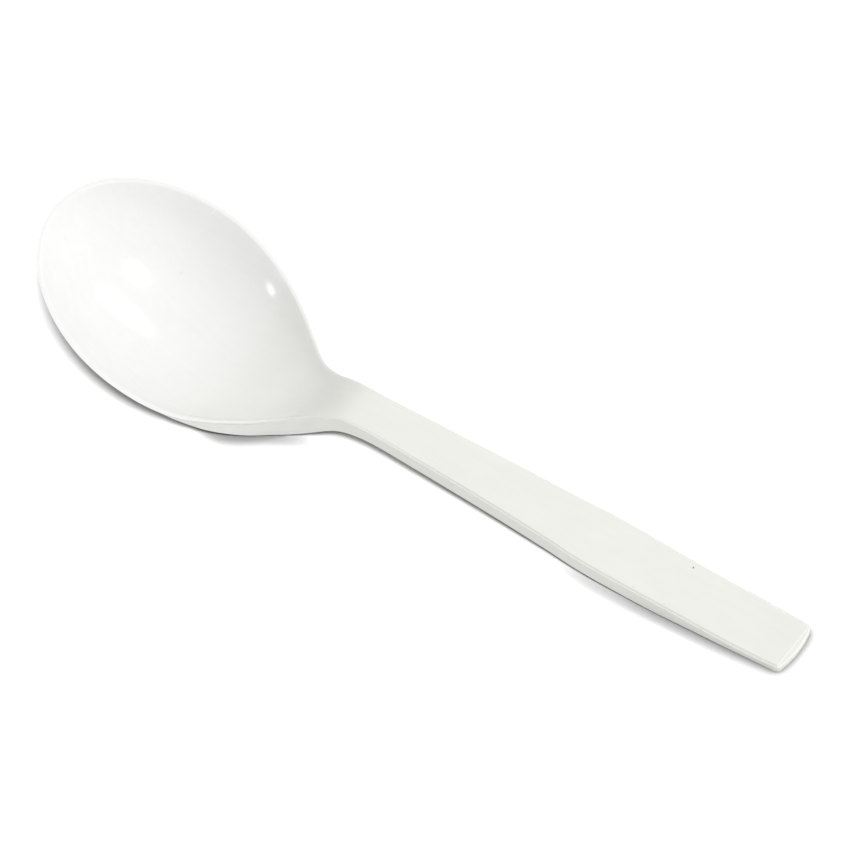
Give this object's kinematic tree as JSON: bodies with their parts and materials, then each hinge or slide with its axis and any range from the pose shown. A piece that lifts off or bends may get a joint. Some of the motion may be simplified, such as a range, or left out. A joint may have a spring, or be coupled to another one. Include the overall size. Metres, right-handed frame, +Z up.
{
  "type": "soup spoon",
  "caption": "Moulded plastic soup spoon: a round-fronted bowl with a thin rim, a stepped neck and a handle with a raised flat panel between side flanges.",
  "frame": {"origin": "bottom centre of the spoon's box, on the table that the bowl and the end of the handle rest on", "axes": "+X from the bowl's tip towards the handle's end, +Z up, the spoon symmetric about the XZ plane"},
  "size_m": [0.1478, 0.0426, 0.0231],
  "materials": {
    "bowl_plastic": "gloss",
    "handle_plastic": "satin"
  },
  "bodies": {
    "root": {"bowl": "bowl_plastic", "bowl_rim": "bowl_plastic", "neck": "bowl_plastic", "handle_panel": "handle_plastic", "left_flange": "handle_plastic", "right_flange": "handle_plastic", "end_wall": "handle_plastic"}
  },
  "joints": []
}
